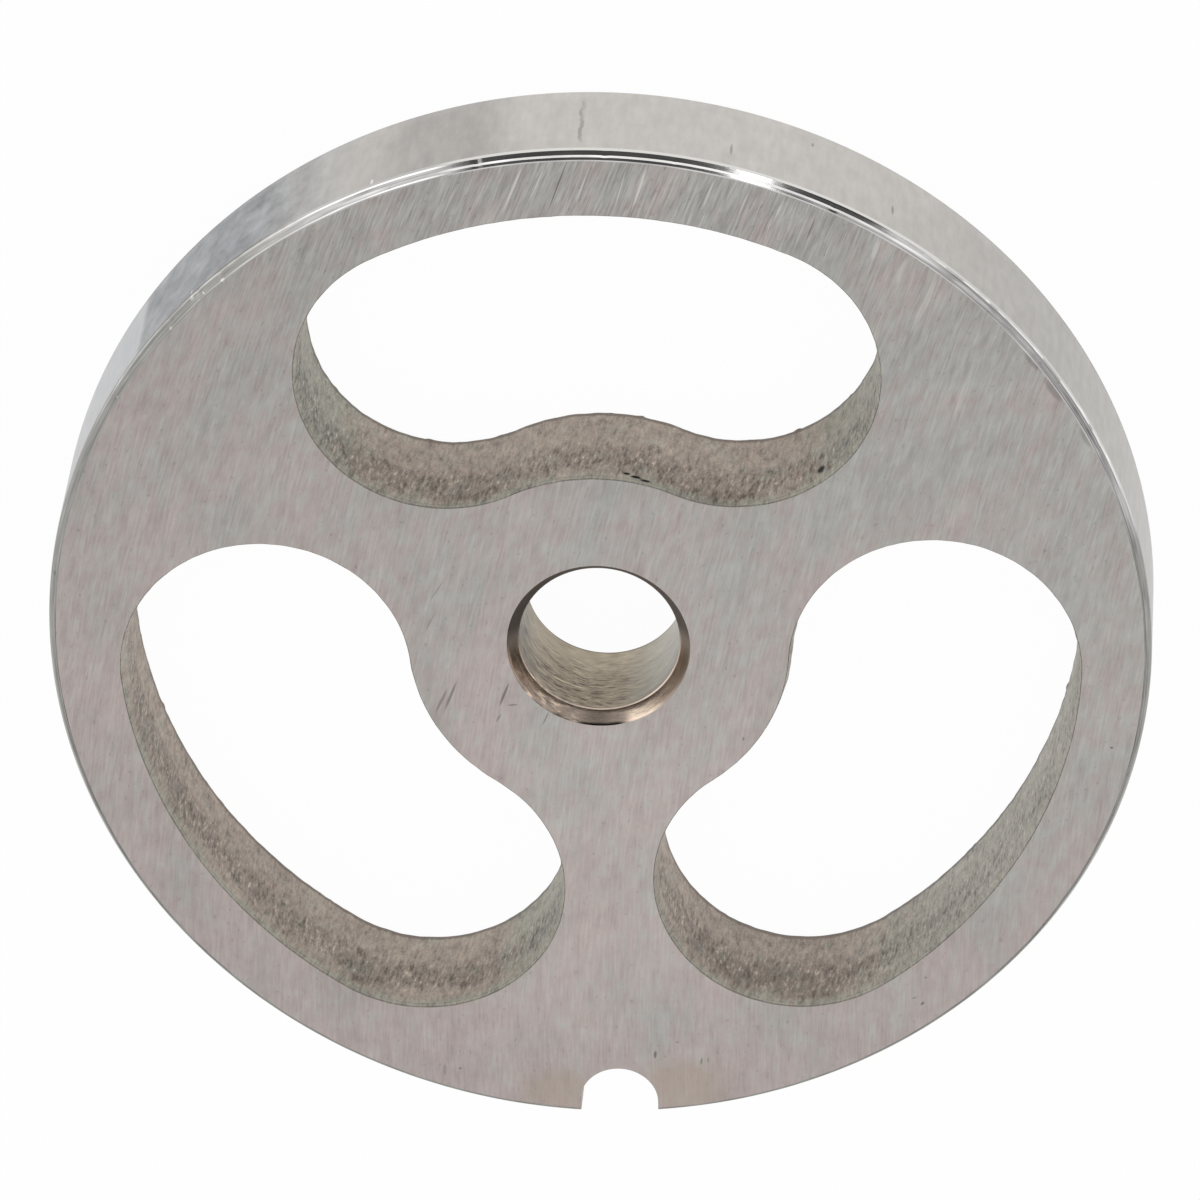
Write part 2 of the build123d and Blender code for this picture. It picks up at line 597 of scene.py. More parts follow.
def close_finish(start, colour, metallic, roughness, height, depth, gloss=0.5):
    """End a finish in one Principled shader, with a bump of this depth in metres.

    Gloss is how strongly the part that isn't metal shines."""
    bump = start.node("Bump", {"Height": height, "Strength": 1.0, "Distance": depth})
    values = {
        "Base Color": colour, "Metallic": metallic, "Roughness": roughness, "Normal": bump,
        "Specular IOR Level": gloss,
    }
    shader = start.node("BsdfPrincipled", values)
    start.node("OutputMaterial", {"Surface": shader})


def scale_colour(colour, factor):
    """A colour made lighter or darker by a wire."""
    return colour.node("VectorMath", {"Vector": colour, "Scale": factor}, operation="SCALE")


def blot(place, centre, turn, reach):
    """1 inside about half of an ellipsoid and 0 outside it.

    Its centre and half lengths are in millimetres, and its turn about z is in degrees."""
    values = {
        "Vector": place, "Location": [value * MM for value in centre],
        "Rotation": (0.0, 0.0, math.radians(turn)), "Scale": [value * MM for value in reach],
    }
    moved = place.node("Mapping", values, vector_type="TEXTURE")
    away = moved.node("VectorMath", {"Vector": moved}, "Value", operation="LENGTH")
    return away.step(1.0, 0.4)


def edge_blot(place, bearing, radius, height, reach):
    """A blot at this bearing in degrees, with its half lengths round the plate, inwards and up."""
    x, y = on_circle(math.radians(bearing)) * radius
    return blot(place, (x, y, height), bearing + 90, reach)


# The rim's radius and the face's height in millimetres, for the marks that lie on them.
MARK_RADIUS, MARK_HEIGHT = 41.0, 9.9

# In the finishes far is +Y, near is -Y, left is -X and right is +X.

# Dark marks of the face: x, y, turn in degrees, half length, half width, strength.
SCRATCHES = (
    (-11.9, -4.6, 64, 1.5, 0.14, 0.5), (-11.2, -4.2, 68, 1.7, 0.15, 0.6), (-7.2, -4.1, 68, 1.4, 0.13, 0.7),
    (-6.6, -5.0, 5, 0.5, 0.12, 0.5), (-7.7, -6.1, 60, 0.5, 0.1, 0.5), (-11.8, 4.8, 58, 1.2, 0.08, 0.35),
    (-12.4, 2.2, 62, 1.3, 0.09, 0.3), (-4.2, -6.2, 66, 0.8, 0.08, 0.5), (2.9, -35.7, 84, 0.45, 0.16, 0.7),
    (37.9, -8.9, 0, 0.16, 0.12, 0.8), (23.3, -31.2, 50, 0.25, 0.14, 0.7), (22.7, -30.7, 20, 0.3, 0.1, 0.4),
    (19.8, -0.9, 75, 0.5, 0.1, 0.4), (32.6, 23.7, 126, 1.3, 0.4, 0.4), (34.1, 21.3, 122, 1.5, 0.45, 0.45),
    (36.4, 17.3, 116, 1.2, 0.35, 0.3), (-1.4, 38.4, 69, 2.7, 0.07, 0.75), (16.8, 34.7, 68, 1.2, 0.08, 0.6),
    (14.0, 35.2, 68, 1.4, 0.07, 0.4), (10.5, -8.0, 80, 0.2, 0.12, 0.5), (-13.2, -37.0, 85, 0.7, 0.2, 0.3),
    (-3.9, 41.0, 0, 0.3, 0.1, 0.5), (23.4, 19.0, 74, 1.5, 0.08, 0.3), (28.5, 12.0, 78, 1.1, 0.07, 0.3),
    (6.4, -36.3, 80, 0.4, 0.12, 0.5), (6.9, -36.2, 84, 0.35, 0.1, 0.4), (-12.0, -36.9, 0, 0.16, 0.12, 0.6),
    (4.6, -34.6, 0, 0.15, 0.12, 0.45), (23.6, -28.9, 0, 0.16, 0.12, 0.45),
)

# Painted highlights along grinding lines of the face, in the same terms.
SHINES = (
    (-4.7, 38.1, 67, 2.6, 0.12, 0.8), (-3.0, 38.3, 66, 2.0, 0.08, 0.6), (0.4, 38.4, 69, 2.1, 0.09, 0.5),
    (3.1, 38.0, 73, 2.0, 0.08, 0.5), (4.5, 38.1, 71, 2.3, 0.13, 0.75), (9.5, 37.6, 68, 1.5, 0.12, 0.6),
    (14.3, 35.8, 64, 1.9, 0.11, 0.6), (21.4, 32.9, 70, 1.1, 0.25, 0.45), (24.9, 28.5, 66, 2.8, 0.3, 0.32),
    (23.3, 31.3, 66, 1.6, 0.25, 0.35), (-9.4, 37.0, 66, 1.8, 0.08, 0.4), (-7.1, 37.6, 66, 1.6, 0.07, 0.4),
    (22.0, 24.0, 68, 2.4, 0.3, 0.16), (27.5, 21.0, 70, 2.6, 0.3, 0.14), (11.9, 36.6, 67, 1.3, 0.07, 0.5),
)


def marked(place, marks):
    """How much any of these marks covers a place on the face, from 0 to 1."""
    cover = 0.0
    for x, y, turn, long, wide, strength in marks:
        mark = blot(place, (x, y, MARK_HEIGHT), turn, (long, wide, 1.0)) * strength
        cover = mark.maths("MAXIMUM", cover)
    return cover


def ground_finish(colours, name="ground_face", lean=0.22, fan=2.6, worn_and_painted_light=True):
    """Worked face: short grinding lines that lean and fan, over rosy and leaden patches.

    The lines follow x - lean y - fan y squared = constant, so they lean most on the far side.
    Noises stretched along them give hairlines, lines and broad streaks, keenest far and right and
    faintest near, partly as painted highlight and shade. A finer and a slower noise turn the steel
    rosy or leaden. With wear and painted light, the face also has stains by the notch, painted
    highlights along grinding lines and dark marks, and is painted darker towards the left and the
    far side, a little lighter over the near middle."""
    material, start, place, (x, y, z) = new_finish(name)
    across = x - y * lean - y * y * fan
    hair = start.noise((across, y * 0.07, 0.0), 5800, 2, 0.65)
    line = start.noise((across, y * 0.13, 0.3), 1700, 3, 0.6)
    broad = start.noise((across, y * 0.35, 0.6), 320)
    mottle = start.noise((across, y * 0.6, 0.9), 950, 3, 0.65)
    patch = start.noise((across, y * 0.6, 1.9), 190)
    specks = start.noise((across, y * 0.7, 2.9), 2600, 1).step(0.66, 0.76)
    arcs = start.noise(((x * x + y * y) ** 0.5, z, 0.0), 900)
    # Keen: the lines' contrast, stronger far and right and weaker near, partly painted highlight and
    # shade.
    keen = 1.0 + 0.25 * (y + 0.45 * x).step(0.024, 0.042) + 0.8 * y.step(0.029, 0.036)
    keen -= 0.15 * y.step(-0.012, -0.022)
    hue = 0.48 + y * 8.0 + x * 5.0 + 2.2 * (mottle - 0.5) + 1.8 * (patch - 0.5)
    base = hue.step(-0.1, 1.1).mix(colours.rosy, colours.leaden)
    light = 1.0 + keen * (0.48 * (hair - 0.5) + 0.28 * (line - 0.5))
    light += 0.22 * (broad - 0.5) + 0.42 * (mottle - 0.5) + 0.04 * (arcs - 0.5) - 0.14 * specks
    if worn_and_painted_light:
        web = blot(place, (0.5, -19.0, MARK_HEIGHT), 0, (17.0, 20.0, 1.0))
        # Painted shade: darker towards the left and the far side, a little lighter over the web.
        light += 0.9 * x.maths("MINIMUM", 0.0) - 3.4 * y.maths("MAXIMUM", 0.0) + 0.08 * web
    base = scale_colour(base, light)
    if worn_and_painted_light:
        left = blot(place, (-4.7, -39.0, MARK_HEIGHT), 0, (3.6, 2.6, 1.0))
        right = blot(place, (5.2, -38.6, MARK_HEIGHT), 0, (4.4, 3.2, 1.0))
        base = ((left + right) * patch).mix(base, colours.stain)
        # Shines are painted highlights along grinding lines.
        base = (0.7 * marked(place, SHINES)).mix(base, colours.shine)
        base = marked(place, SCRATCHES).mix(base, colours.scratch)
    grain = keen * (0.6 * hair + line) + 0.6 * broad
    close_finish(start, base, 1.0, 0.3 + 0.12 * broad, grain, 4e-6)
    return material


# Back face: the same steel, ground in one plain direction.
back_finish = partial(ground_finish, name="back_face", lean=-0.05, fan=0.0, worn_and_painted_light=False)


# Short marks up the rim: bearing in degrees, height, half height, strength. A negative
# strength makes a painted glint instead of a dark mark.
RIM_MARKS = (
    (74.4, 6.6, 1.1, 0.4), (56.6, 6.2, 0.9, 0.4), (66.0, 2.0, 0.4, 0.4), (111.5, 8.7, 0.5, -0.6),
    (134.4, 8.8, 0.5, -0.8),
)


def rim_finish(colours):
    """Rim: satin steel with soft clouds, short streaks up it, painted reflections and a hair crack.

    A place on the rim is told by its bearing, in radians from +X. A painted dark bluish reflection
    fades in from 1.95 and ends sharply at 2.5, where a painted paler reflection begins. A dim band
    of painted shade lies before it. The right side and the left end are dimmer, as painted shade,
    and the crack wanders up the rim at +Y."""
    material, start, place, (x, y, z) = new_finish("rim_band")
    bearing = y.maths("ARCTAN2", x)
    clouds = start.noise((x, y, z * 0.7), 170, 3, 0.55)
    blotch = start.noise((x, y, z * 0.8), 560, 3, 0.6)
    streak = start.noise((x, y, z * 0.25), 1500, 4, 0.6)
    # Painted reflections by bearing: a dark bluish stretch with a dim band of painted shade before it, and
    # a paler stretch beyond.
    dark_reflection = bearing.band(1.95, 2.25, 2.495, 2.515)
    dim_band = bearing.band(1.66, 1.76, 1.84, 2.0)
    pale_light = bearing.band(2.49, 2.52, 2.85, 3.12)
    # Painted shade: the right side, the left end and a few stretches between are dimmer.
    dim = 1.3 * bearing.step(1.25, 0.45) + 0.35 * bearing.band(1.8, 2.0, 2.1, 2.4)
    dim += 0.45 * bearing.step(2.2, 2.45) + 0.85 * bearing.step(2.7, 3.05)
    light = 1.0 + 0.16 * (clouds - 0.5) + (0.2 + 1.5 * dark_reflection) * (blotch - 0.5)
    light += 0.34 * (streak - 0.5) - 0.24 * dim_band - 0.2 * dim
    base = pale_light.mix(colours.rim, colours.pale_rim_reflection)
    base = (dark_reflection * (0.6 + 0.7 * clouds)).mix(base, colours.dark_reflection)
    bent = x - 0.00012 - 0.0011 * (start.noise((0.0, 0.0, z), 420, 3, 0.6) - 0.5)
    crack = bent.maths("ABSOLUTE").step(0.00022, 0.00006) * y.step(0.0, 0.01)
    crack *= z.band(0.0010, 0.0020, 0.0076, 0.0088) * streak.step(0.3, 0.55)
    light -= 0.36 * crack
    # Marks of negative strength are painted glints.
    for degrees, height, tall, strength in RIM_MARKS:
        light -= strength * edge_blot(place, degrees, MARK_RADIUS, height, (0.14, 1.0, tall))
    close_finish(start, scale_colour(base, light), 1.0, 0.26 + 0.1 * clouds, streak, 2e-6)
    return material


# Painted glints of the bevel: bearing in degrees, radius, height, half width and half height.
GLINTS = (
    (138.4, 40.42, 9.8, 0.2, 0.12), (130.4, 40.42, 9.8, 0.28, 0.12), (134.4, 40.8, 9.45, 0.3, 0.3),
    (148.5, 40.45, 9.77, 0.15, 0.1), (133.0, 40.6, 9.72, 0.12, 0.1), (44.0, 40.8, 9.45, 0.5, 0.12),
    (36.5, 40.8, 9.45, 0.6, 0.12), (28.0, 40.85, 9.4, 0.9, 0.1), (22.0, 40.85, 9.4, 0.6, 0.1),
)


# Bands of height of the bevel's painted reflection lines, in metres: where each starts, is full,
# is still full and ends.
LOW_LINE = (0.00938, 0.00943, 0.00950, 0.00955)
HIGH_LINE = (0.00978, 0.00981, 0.00985, 0.00988)
SHADE_BAND = (0.00966, 0.00970, 0.00975, 0.00978)
DASHED_LINE = (0.00943, 0.00946, 0.00949, 0.00952)
DARK_LINE = (0.00955, 0.00958, 0.00963, 0.00966)


def bevel_finish(colours):
    """Bevel: turned facets with hairlines round them, with a painted reflection on the far side only.

    The hairlines are a noise of the height that changes slowly round the rim. Towards the near
    side and the left the facets are painted as dull as the face, and so is the steep lead, which
    is a painted highlight elsewhere. By bearing, in radians from +X, painted reflection lines lie
    one above the other along the right: a dashed bright line, a dark line and a dark band. The low
    line is dark at about 1.06 and the high one below 1, and both shine left, all as painted light."""
    material, start, place, (x, y, z) = new_finish("rim_bevel")
    bearing = y.maths("ARCTAN2", x)
    radius = (x * x + y * y) ** 0.5
    grit = start.noise(place, 1500, 2, 0.6)
    lines = start.noise((x * 0.02, y * 0.02, z), 15000, 2, 0.6)
    breaks = start.noise(place, 420, 2, 0.6)
    # Painted reflection: far facets take the bright bevel colour, the rest the face's leaden one.
    far = (y + 0.9 * x).step(0.008, 0.024) * y.step(0.006, 0.013)
    lead = radius.step(0.04092, 0.04096)
    facet_reflection = far.mix(colours.leaden, colours.bevel)
    # The lead edge takes its painted highlight where glint and noise are high, and its unlit colour
    # elsewhere.
    glint = far.maths("MAXIMUM", 0.5 * y.step(0.015, 0.024) * z.step(0.00922, 0.00932))
    edge = (glint + 0.8 * (breaks - 0.5)).step(0.1, 0.8).mix(colours.dull, colours.lead)
    colour = lead.mix(facet_reflection, edge)
    light = 1.0 - 0.25 * grit.step(0.66, 0.8)
    light += (1 - lead) * (1.1 * (lines - 0.5) + 0.3 * (breaks - 0.5))
    # Painted reflection lines and painted shade, placed by bearing and height.
    past_top = bearing.step(1.79, 1.83)
    left = past_top * bearing.step(2.8, 2.6)
    right = bearing.band(0.28, 0.36, 0.84, 0.92)
    low, high = z.band(*LOW_LINE), z.band(*HIGH_LINE)
    light -= 0.2 * past_top * (0.3 + far) + 0.1 * bearing.step(2.8, 3.1)
    light += left * (low + 0.8 * high) * (0.45 + 0.45 * bearing.step(2.2, 1.95)) * (0.5 + breaks)
    shade_band = z.band(*SHADE_BAND) * bearing.step(0.3, 0.36)
    light -= bearing.step(0.95, 0.8) * (0.16 + 0.35 * shade_band)
    dashes = z.band(*DASHED_LINE) * breaks.step(0.4, 0.5)
    light += right * (0.9 * dashes - 0.4 * z.band(*DARK_LINE))
    light -= 0.5 * low * bearing.band(0.97, 1.03, 1.1, 1.16)
    light -= 0.3 * high * bearing.band(-3.1, -2.8, 0.95, 1.15)
    # Painted glints.
    for degrees, away, height, wide, tall in GLINTS:
        light += 0.7 * edge_blot(place, degrees, away, height, (wide, 0.25, tall))
    # Painted shade: a broken dark line along the top edge on the near side.
    light -= 0.35 * z.step(0.00986, 0.0099) * breaks.step(0.4, 0.6) * y.step(0.02, -0.005)
    close_finish(start, scale_colour(colour, light), 1.0, 0.08 + 0.08 * grit, lines + grit, 2e-6)
    return material


# Pits of the far window's wall: x, y, z, turn about z, half length, half width, half height.
PITS = (
    (2.6, 14.15, 8.95, -10, 0.4, 0.6, 0.2), (3.3, 14.0, 9.2, -13, 0.6, 0.6, 0.22),
    (4.0, 13.8, 9.38, -16, 0.6, 0.6, 0.18), (16.9, 13.9, 8.3, 33, 0.5, 0.6, 0.6),
)


PIT_BLACK = (0.004, 0.004, 0.003, 1.0)

# The wall's dark belt and fine seam, as bands of height, and the least light on it.
BELT = (0.0030, 0.0058, 0.0071, 0.0092)
SEAM = (0.00943, 0.00949, 0.00955, 0.00960)
LEAST_LIGHT = 0.56


def raw_finish(colours, name="window_wall"):
    """Window wall: raw steel with short slanting grain up the wall and a soft dark belt.

    Grain and pitting are stronger in the belt. Walls that look left are greener, as painted light,
    and so is the top of each. The right window's outer end is paler, as painted light, and a few
    stretches are dimmer. The wall has painted shade in a hair's breadth at both edges, and is dark
    along a fine line in its mouth."""
    material, start, place, (x, y, z) = new_finish(name)
    looks = split(start.node("TexCoord", output="Normal"))[0]
    streak = start.noise((x + z * 0.12, y, z * 0.24), 4200, 2, 0.65)
    grain = start.noise((x, y, z * 0.6), 6800, 1, 0.6)
    clots = start.noise((x, y, z * 0.6), 1250, 2, 0.55)
    drift = start.noise(place, 150)
    mottle = start.noise(place, 620, 3, 0.6)
    far, near = y.step(0.0, 0.01), y.step(-0.015, -0.025)
    high = z + (drift - 0.5) * 0.004 - 0.0008 * far
    belt = high.band(*BELT)
    # Painted light: walls that look left, and far walls that look right, take the greener colour, as does
    # the top; noise mottles it.
    green = looks.step(-0.3, -0.85) + looks.step(0.5, 0.9) * far + 2.6 * (mottle - 0.45)
    green += 0.7 * z.step(0.0088, 0.0095)
    # Painted light: the right window's outer end is paler.
    pale_light = (x - 0.6 * y).step(0.033, 0.047)
    base = green.step(0.0, 1.0).mix(colours.raw, colours.raw_green)
    base = (pale_light + 0.4 * (drift - 0.5)).mix(base, colours.raw_pale)
    deep = belt * (1 - 0.55 * pale_light)
    pitted = (streak + 0.6 * (clots - 0.5)).step(0.42, 0.27) * (0.15 + 0.36 * deep)
    base = pitted.mix(base, colours.raw_dark)
    light = 1.0 + (0.9 + 0.6 * deep) * (streak - 0.5) + 0.65 * (grain - 0.5) + 0.7 * (clots - 0.5)
    light += 0.3 * (drift - 0.5) - 0.21 * deep + 0.4 * deep * streak.step(0.6, 0.72)
    light += 0.07 * z.step(0.0088, 0.0094) - 0.02 * z.step(0.0052, 0.004)
    light -= 0.18 * z.band(*SEAM) * drift.step(0.4, 0.56)
    # Painted shade: a hair's breadth of dark at the top and bottom edges.
    light -= 0.45 * z.step(0.00978, 0.00986) + 0.5 * z.step(0.0006, 0.0003)
    light -= 0.05 * far * x.step(-0.004, -0.01) + 0.04 * near * x.step(0.005, 0.015) * (1 - pale_light)
    end = y.step(-0.010, -0.016) * x.band(0.002, 0.006, 0.014, 0.020)
    light -= (0.06 + 0.05 * belt) * end + 0.05 * x.step(-0.028, -0.034)
    light -= 0.03 * deep * x.step(0.002, -0.008)
    base = scale_colour(base, light.maths("MAXIMUM", LEAST_LIGHT))
    for *centre, turn, long, wide, tall in PITS:
        base = blot(place, centre, turn, (long, wide, tall)).mix(base, PIT_BLACK)
    close_finish(start, base, 0.8, 0.5 + 0.2 * grain, grain + streak, 4e-5)
    return material


# Window mouth: the same raw steel, on the flare that the cutter left under the face.
mouth_finish = partial(raw_finish, name="window_mouth")


# Tool marks of the bore: height, rise a radian, first and last bearing in degrees, strength.
TOOL_MARKS = (
    (6.12, -0.45, -134, -98, 1.3), (6.4, -0.4, -146, -112, -0.6), (7.1, -0.1, -134, -112, -0.8),
    (6.8, -0.2, -150, -124, 0.7), (7.0, 0.1, -110, -98, 0.4), (5.9, 0.2, -84, -66, 0.5),
    (6.15, 0.2, -90, -70, -0.4), (4.6, -0.3, -106, -84, -0.5), (4.9, -0.3, -112, -96, 0.3),
    (5.5, -0.2, -150, -120, -0.4), (7.7, 0.0, -140, -100, -0.4), (8.52, 0.25, -100, -64, 0.7),
)


def bore_finish(colours):
    """Bore: turned wall whose uneven tool marks climb slowly round it, browner near the cone.

    The marks are noise of a height that leans with x and bends, keenest at the left, and
    TOOL_MARKS, lines round the bore."""
    material, start, place, (x, y, z) = new_finish("bore_wall")
    bearing = y.maths("ARCTAN2", x)
    bent = start.noise(place, 260)
    climb = z - x * 0.06 + bent * 0.0016
    turned = start.noise((x * 0.18, y * 0.18, climb), 5600, 3, 0.7)
    broad = start.noise((x * 0.4, y * 0.4, climb), 1300)
    brown = (z + 0.004 * (bent - 0.5)).step(0.0022, 0.0054)
    keen = 0.6 + brown * x.step(0.0035, -0.001)
    light = 1.0 + 1.25 * keen * (turned - 0.5) + 0.7 * keen * (broad - 0.5) - 0.1 * brown
    light -= 0.26 * x.step(-0.0051, -0.0059)
    light -= 0.2 * z.step(0.0074, 0.0086) * x.step(0.0016, 0.0027)
    light += 0.5 * keen * turned.step(0.6, 0.7) * broad.step(0.4, 0.6)
    dark = 0.26 * brown + 0.6 * keen * turned.step(0.52, 0.3)
    base = dark.mix(colours.bore, colours.raw_dark)
    base = x.step(0.0005, 0.0055).mix(base, colours.raw_green)
    fade = 0.2
    for height, rise, first, last, strength in TOOL_MARKS:
        first, last = math.radians(first), math.radians(last)
        centre = height * MM + rise * MM * (bearing - 0.5 * (first + last)) + 0.0006 * (bent - 0.5)
        line = (z - centre).maths("ABSOLUTE").step(0.00010, 0.00003)
        light += 0.6 * strength * line * bearing.band(first, first + fade, last - fade, last)
    # Painted shade: dark lines at the back edge and where the wall meets the cone.
    light -= 0.5 * z.step(0.0006, 0.00035) + 0.3 * z.step(0.00858, 0.00868)
    close_finish(start, scale_colour(base, light), 1.0, 0.3 + 0.15 * turned, turned + broad, 2e-5)
    return material


def cone_finish(colours):
    """Bore mouth: brown polished cone with lines round it, rougher to the left of the near side.

    By bearing it goes from dark at the left through brown with golden flecks to a stretch of
    painted shade at -Y, a painted bright golden highlight and a lighter, smoother right side, painted
    lighter. It has a dark lip and a dark matt far side, both painted shade, and a line at the bore
    with a painted highlight right of -Y and painted shade at the left."""
    material, start, place, (x, y, z) = new_finish("bore_mouth")
    bearing = y.maths("ARCTAN2", x)
    turned = start.noise((x * 0.25, y * 0.25, z), 5200, 2, 0.65)
    broad = start.noise((x * 0.6, y * 0.6, z), 900, 2, 0.6)
    # Painted shade: the far side is dark and matt.
    far_side = y.step(-0.0015, 0.0015)
    rough = bearing.band(-2.9, -2.6, -2.0, -1.75)
    # Painted shade in the dim stretch, a painted golden highlight in the bright one, painted light on the
    # right.
    dim = bearing.band(-1.87, -1.75, -1.4, -1.3)
    bright = bearing.band(-1.33, -1.2, -1.0, -0.75) * z.step(0.0089, 0.0094)
    right = bearing.band(-1.1, -0.6, 1.4, 2.6)
    gold_and_highlight = (broad + 0.5 * (turned - 0.5)).step(0.49, 0.66) * rough
    colour = gold_and_highlight.maths("MAXIMUM", bright).mix(colours.cone, colours.gold_and_highlight)
    light = 0.97 + (0.35 + 1.1 * rough) * (turned - 0.5) + (0.3 + 0.7 * rough) * (broad - 0.5)
    light += 0.45 * bright - 0.1 * dim + 0.45 * right
    light += 0.16 * z.step(0.0094, 0.0089) * (1 - far_side)
    # Painted shade along the lip.
    light -= 0.6 * z.step(0.00966, 0.0098) * dim + 0.3 * z.step(0.0098, 0.00987)
    # Painted highlight and shade along the line at the bore.
    edge_highlight = bearing.band(-1.35, -0.9, -0.5, -0.35) + 0.5 * dim
    light += z.step(0.00881, 0.00879) * (0.4 * edge_highlight - 0.2 * bearing.step(-1.8, -2.2))
    light *= 1 - 0.8 * far_side
    colour = scale_colour(far_side.mix(colour, colours.raw), light)
    roughness = 0.16 + 0.12 * turned + 0.1 * right
    close_finish(start, colour, 1 - far_side, roughness, turned + broad, 1e-5, 0.0)
    return material


def notch_finish(colours):
    """Notch: milled wall with lines up it."""
    material, start, place, (x, y, z) = new_finish("notch_wall")
    milled = start.noise((x, y, z * 0.05), 4200, 2, 0.6)
    light = 0.8 + 0.5 * (milled - 0.5)
    base = milled.step(0.4, 0.8).mix(colours.raw, colours.raw_dark)
    close_finish(start, scale_colour(base, light), 1.0, 0.35 + 0.1 * milled, milled, 8e-6)
    return material


FINISHES = (
    ground_finish, back_finish, rim_finish, bevel_finish, raw_finish,
    mouth_finish, bore_finish, cone_finish, notch_finish,
)


# ---------------- studio


def studio_world(settings):
    """Sky: white to the camera, and a soft sky to the plate.

    Side is the heading from +Y in radians, positive towards +X. The soft sky has a dark field
    towards +Y, where the camera stands, a brighter flank to its left, dimmer quarters at the sides
    and a dim spot low at +Y."""
    world = bpy.data.worlds.new("studio_sky")
    start = emptied(world)
    x, y, z = split(start.node("TexCoord", output="Generated"))
    side = x.maths("ARCTAN2", y)
    level = z.band(0.13, 0.24, 0.6, 0.68)
    slant = 2.3 * (z - 0.45).maths("MAXIMUM", -0.02)
    dark = side.step(-0.47, -0.38) * (side + slant).step(0.8, 0.68) * level
    flank = side.band(-1.3, -1.0, -0.5, -0.36) * level
    beside = side.band(-2.6, -2.2, -1.5, -1.15) + side.band(1.7, 2.0, 2.4, 2.8)
    around = beside * z.step(0.7, 0.5)
    lens = side.band(-0.25, -0.1, 0.1, 0.25) * z.band(0.04, 0.1, 0.15, 0.25)
    soft = settings.sky * (1 + 0.35 * flank) * (1 - 0.3 * around) * (1 - 0.9 * dark) * (1 - 0.5 * lens)
    camera = start.node("LightPath", output="Is Camera Ray")
    strength = camera + (1 - camera) * soft
    sky = start.node("Background", {"Color": (1, 1, 1, 1), "Strength": strength})
    start.node("OutputWorld", {"Surface": sky})
    bpy.context.scene.world = world


def studio_floor():
    """Floor: a wide square just under the plate, which glows nearly white to camera and gloss.

    A little of the matt floor is mixed in there, to take the plate's shadow."""
    reach, drop, whiteness = 3.0, 2e-5, 0.97
    points = raised(np.array([[-1, -1], [1, -1], [1, 1], [-1, 1]]) * reach, -drop)
    mesh = bpy.data.meshes.new("studio_floor")
    mesh.from_pydata(points.tolist(), [], [(0, 1, 2, 3)])
    floor = placed("studio_floor", mesh)
    material = bpy.data.materials.new("studio_floor")
    start = emptied(material)
    camera = start.node("LightPath", output="Is Camera Ray")
    glossy = start.node("LightPath", output="Is Glossy Ray")
    matt = start.node("BsdfDiffuse", {"Color": (0.85, 0.85, 0.85, 1)})
    glow = start.node("Emission", {"Color": (1, 1, 1, 1), "Strength": 1.0})
    share = whiteness * camera.maths("MAXIMUM", glossy)
    start.node("OutputMaterial", {"Surface": start.node("MixShader", {0: share, 1: matt, 2: glow})})
    mesh.materials.append(material)


def soft_lamp(name, angles, distance, size, power):
    """An area lamp aimed at the plate, with its width and height.

    Its angles are its compass heading, 0 at +Y and clockwise from above, and its elevation."""
    heading, rise = (math.radians(angle) for angle in angles)
    level = math.cos(rise)
    away = Vector((math.sin(heading) * level, math.cos(heading) * level, math.sin(rise)))
    data = bpy.data.lights.new(name, "AREA")
    data.shape, data.energy = "RECTANGLE", power
    data.size, data.size_y = size
    lamp = placed(name, data)
    facing = away.to_track_quat("Z", "Y").to_matrix().to_4x4()
    lamp.matrix_world = Matrix.Translation(away * distance) @ facing
    lamp.visible_camera = False


# The camera: its turns about x, y and z in radians, and its shift in rim radii.
CAMERA_TURNS = (0.51435, -0.05995, 0.03975)
CAMERA_SHIFT = (0.01160, 0.03505, -18.1308)


def camera_matrix():
    """The camera's place.

    A point of the plate goes to the camera by turns about z, y and x and then a shift, and the
    camera's own matrix is the inverse of that."""
    x, y, z = (Matrix.Rotation(turn, 4, axis) for turn, axis in zip(CAMERA_TURNS, "XYZ"))
    shift = Matrix.Translation(Vector(CAMERA_SHIFT) * (MARK_RADIUS * MM))
    return (shift @ x @ y @ z).inverted()


def studio_camera(settings):
    """A long lens above the plate, for a square frame."""
    data = bpy.data.cameras.new("studio_camera")
    data.lens, data.sensor_width = settings.focal, 36.0
    data.clip_start, data.clip_end = 0.05, 20.0
    camera = placed("studio_camera", data)
    camera.matrix_world = camera_matrix()
    bpy.context.scene.camera = camera


# ---------------- operators and panel


def in_millimetres(sizes):
    """The plate's lengths in millimetres and its angle in radians, by name."""
    found = {name: getattr(sizes, name) for name in PlateSizes.__annotations__}
    return {name: value if name == "half_angle" else value / MM for name, value in found.items()}


class GRINDER_OT_plate(bpy.types.Operator):
    """Build the plate over its CAD body"""

    bl_idname = "grinder.plate"
    bl_label = "Build plate"

    def execute(self, context):
        plate = placed("grinder_plate", plate_mesh(in_millimetres(context.scene.plate_sizes)))
        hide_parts(PLATE_NODE)
        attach(plate, "root")
        return {"FINISHED"}


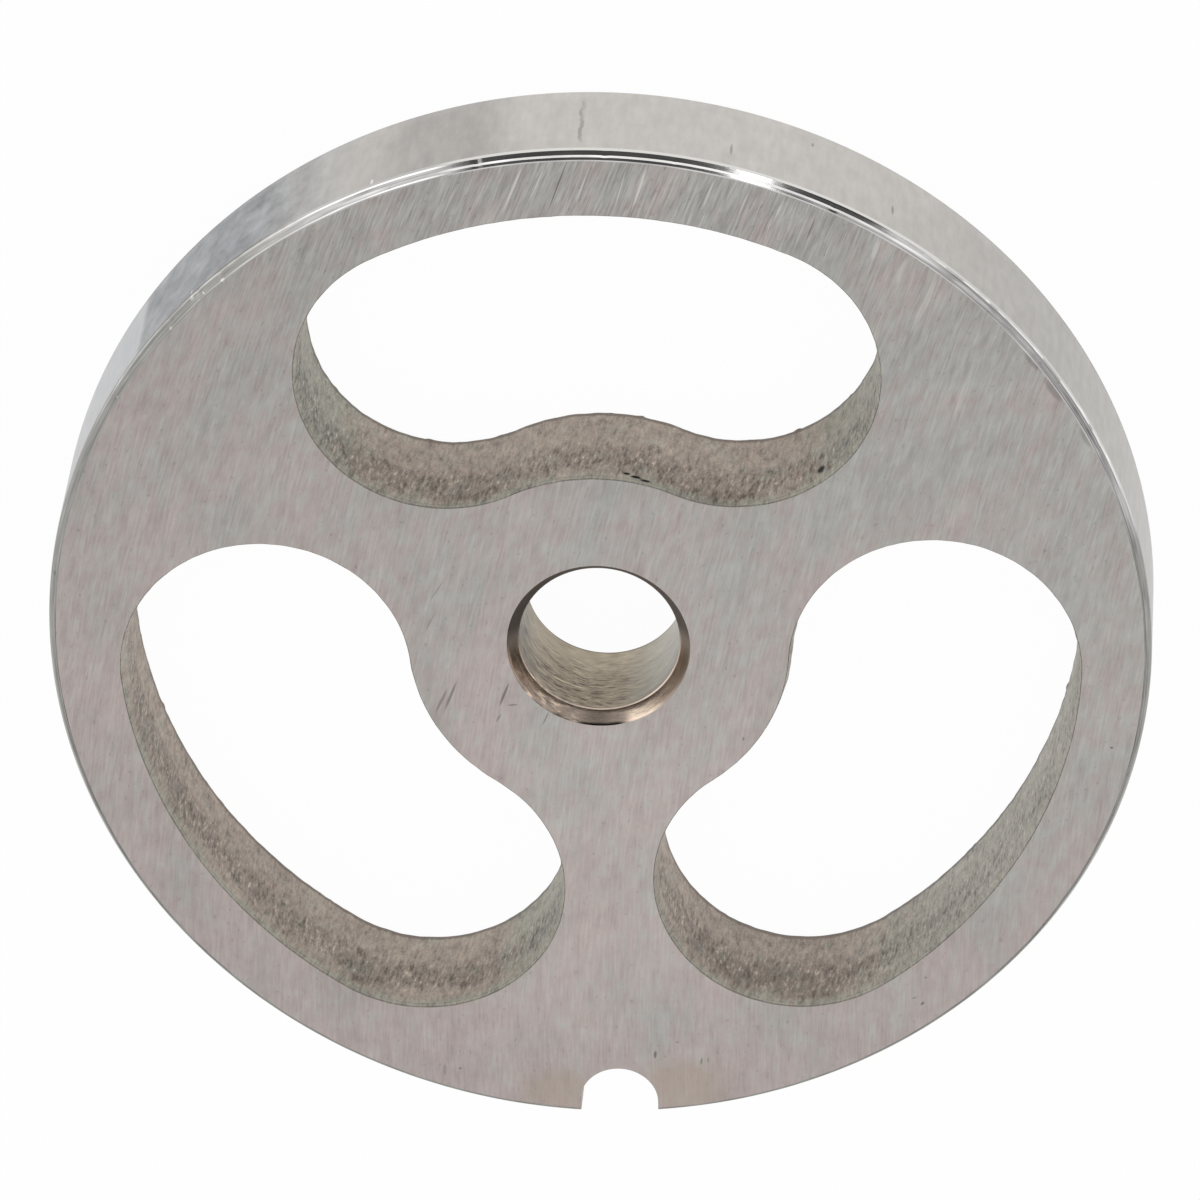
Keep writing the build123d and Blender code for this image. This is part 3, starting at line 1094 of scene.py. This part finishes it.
class GRINDER_OT_finishes(bpy.types.Operator):
    """Give each surface of the plate its own steel finish"""

    bl_idname = "grinder.finishes"
    bl_label = "Finish steel"

    def execute(self, context):
        plate = bpy.data.objects["grinder_plate"]
        for finish in FINISHES:
            plate.data.materials.append(finish(context.scene.steel_colours))
        return {"FINISHED"}


class GRINDER_OT_studio(bpy.types.Operator):
    """Set the floor, the sky, the lamps and the camera"""

    bl_idname = "grinder.studio"
    bl_label = "Set studio"

    def execute(self, context):
        settings = context.scene.studio_settings
        studio_world(settings)
        studio_floor()
        soft_lamp("overhead", (186, 80), 1.0, (0.55, 0.55), settings.overhead)
        soft_lamp("strip", (23.5, 29.5), 1.2, (0.12, 0.5), settings.strip)
        studio_camera(settings)
        context.scene.view_settings.view_transform = "Standard"
        return {"FINISHED"}


class GRINDER_PT_panel(bpy.types.Panel):
    """Sidebar panel of the grinder plate"""

    bl_idname = "GRINDER_PT_panel"
    bl_label = "Grinder plate"
    bl_space_type = "VIEW_3D"
    bl_region_type = "UI"
    bl_category = "Grinder plate"

    def draw(self, context):
        for operator in OPERATORS:
            self.layout.operator(operator.bl_idname)
        for group, kind in GROUPS.items():
            column = self.layout.column(align=True)
            for name in kind.__annotations__:
                column.prop(getattr(context.scene, group), name)


GROUPS = {"plate_sizes": PlateSizes, "steel_colours": SteelColours, "studio_settings": StudioSettings}
OPERATORS = (GRINDER_OT_plate, GRINDER_OT_finishes, GRINDER_OT_studio)
CLASSES = (*GROUPS.values(), *OPERATORS, GRINDER_PT_panel)


def register():
    for kind in CLASSES:
        bpy.utils.register_class(kind)
    for group, kind in GROUPS.items():
        setattr(bpy.types.Scene, group, PointerProperty(type=kind))


def unregister():
    for group in GROUPS:
        delattr(bpy.types.Scene, group)
    for kind in reversed(CLASSES):
        bpy.utils.unregister_class(kind)


def main():
    """Register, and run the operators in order."""
    register()
    bpy.ops.grinder.plate()
    bpy.ops.grinder.finishes()
    bpy.ops.grinder.studio()


if __name__ == "__main__":
    main()
